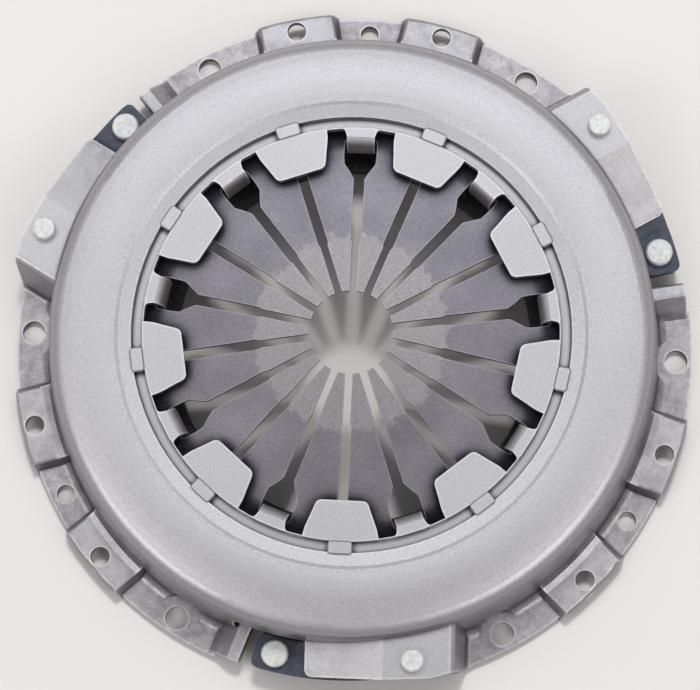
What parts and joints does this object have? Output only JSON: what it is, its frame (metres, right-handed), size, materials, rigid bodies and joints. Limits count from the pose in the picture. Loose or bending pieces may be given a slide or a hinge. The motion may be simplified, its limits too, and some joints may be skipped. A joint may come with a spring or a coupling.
{
  "type": "clutch pressure plate",
  "caption": "Diaphragm-spring clutch cover assembly: a pressed steel cover, slotted spring fingers, fulcrum rings, strap-driven iron pressure plate.",
  "frame": {"origin": "centre of the flange face that bolts to the flywheel", "axes": "+Z along the rotation axis, away from the flywheel towards the release bearing; +Y through one of the three dowel holes"},
  "size_m": [0.258, 0.2569, 0.0411],
  "materials": {
    "cover_steel": "satin phosphated pressed steel",
    "spring_steel": "dark shot-peened spring steel",
    "ring_steel": "drawn steel wire",
    "plate_iron": "cast iron with a ground friction face",
    "rivet_steel": "bright zinc-plated upset steel",
    "strap_steel": "blue-black tempered strip"
  },
  "bodies": {
    "cover_body": {"cover": "cover_steel", "diaphragm_spring": "spring_steel", "lower_fulcrum_ring": "ring_steel", "crown_ring": "ring_steel", "cover_rivet_1": "rivet_steel", "cover_rivet_2": "rivet_steel", "cover_rivet_3": "rivet_steel", "strap_1_leaf_1": "strap_steel", "strap_1_leaf_2": "strap_steel", "strap_1_leaf_3": "strap_steel", "strap_2_leaf_1": "strap_steel", "strap_2_leaf_2": "strap_steel", "strap_2_leaf_3": "strap_steel", "strap_3_leaf_1": "strap_steel", "strap_3_leaf_2": "strap_steel", "strap_3_leaf_3": "strap_steel"},
    "plate_body": {"pressure_plate": "plate_iron", "plate_rivet_1": "rivet_steel", "plate_rivet_2": "rivet_steel", "plate_rivet_3": "rivet_steel"}
  },
  "joints": [
    {"name": "plate_lift", "type": "slide", "parent": "cover_body", "child": "plate_body", "axis": [0, 0, 1], "range_m": [0, 0.004], "stiffness_N_per_m": 60000, "springref_m": -0.001, "deforming": ["diaphragm_spring", "strap_1_leaf_1", "strap_1_leaf_2", "strap_1_leaf_3", "strap_2_leaf_1", "strap_2_leaf_2", "strap_2_leaf_3", "strap_3_leaf_1", "strap_3_leaf_2", "strap_3_leaf_3"]}
  ]
}
